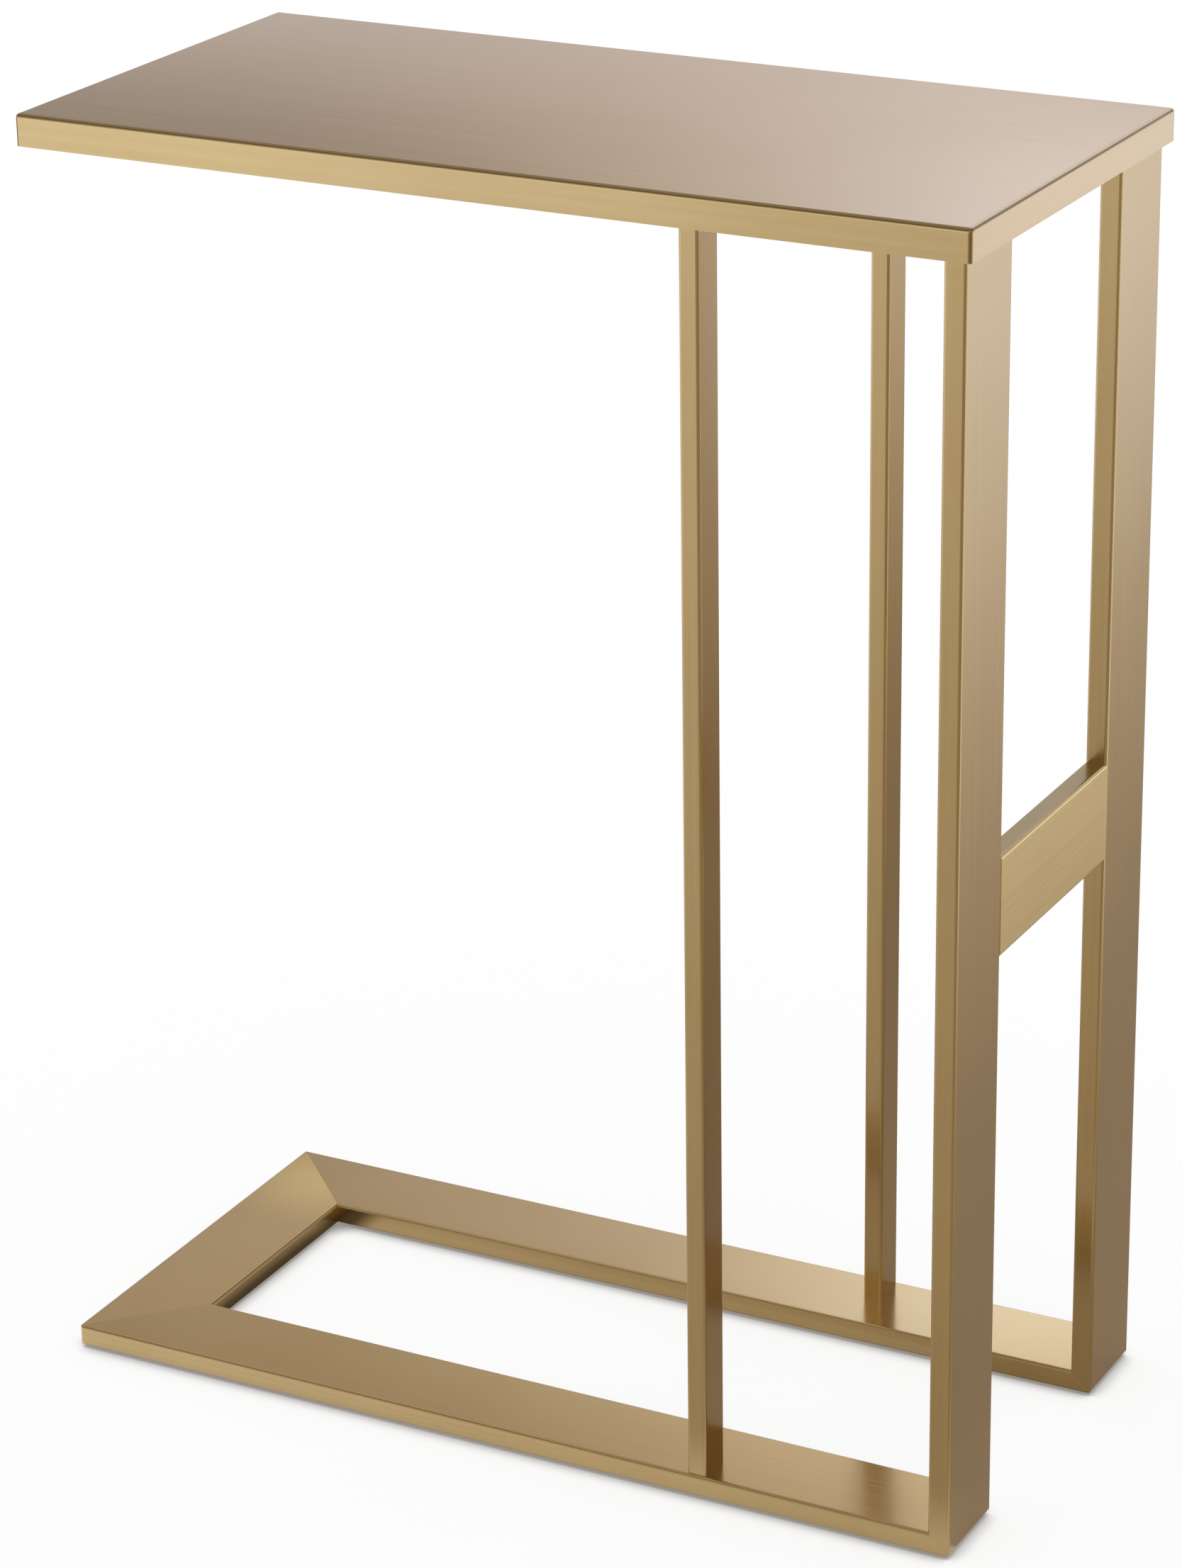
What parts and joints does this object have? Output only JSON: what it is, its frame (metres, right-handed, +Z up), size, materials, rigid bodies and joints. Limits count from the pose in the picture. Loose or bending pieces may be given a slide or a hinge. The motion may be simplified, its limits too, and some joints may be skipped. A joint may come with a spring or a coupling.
{
  "type": "C-shaped side table",
  "caption": "C-shaped metal side table: a thin rectangular top on wide flat legs and slim posts, over a U-shaped base that slides under a sofa.",
  "frame": {"origin": "on the floor, under the middle of the table's outline seen from above", "axes": "+Z up, +X from the free end towards the leg end, -Y towards the front; the table is the same front to back"},
  "size_m": [0.4914, 0.236, 0.65],
  "materials": {
    "satin_gold": "satin champagne gold plating under clear lacquer, on steel tube",
    "gold_sheet": "satin champagne gold sheet, finely brushed along its length",
    "zinc_plated_steel": "bright zinc",
    "dark_nylon": "matt moulded nylon"
  },
  "bodies": {
    "root": {"top_sheet": "gold_sheet", "rim_front_rail": "satin_gold", "rim_back_rail": "satin_gold", "rim_left_rail": "satin_gold", "rim_right_rail": "satin_gold", "left_sheet_stiffener": "satin_gold", "right_sheet_stiffener": "satin_gold", "front_leg": "satin_gold", "back_leg": "satin_gold", "leg_crossbar": "satin_gold", "front_leg_plate": "satin_gold", "back_leg_plate": "satin_gold", "front_post": "satin_gold", "back_post": "satin_gold", "front_post_plate": "satin_gold", "back_post_plate": "satin_gold", "base_front_runner": "satin_gold", "base_back_runner": "satin_gold", "base_left_bar": "satin_gold", "leg_plate_screws": "zinc_plated_steel", "post_plate_screws": "zinc_plated_steel", "leg_weld_nuts": "zinc_plated_steel", "post_weld_nuts": "zinc_plated_steel", "front_end_glide": "dark_nylon", "front_post_glide": "dark_nylon", "front_leg_glide": "dark_nylon", "back_end_glide": "dark_nylon", "back_post_glide": "dark_nylon", "back_leg_glide": "dark_nylon"}
  },
  "joints": []
}
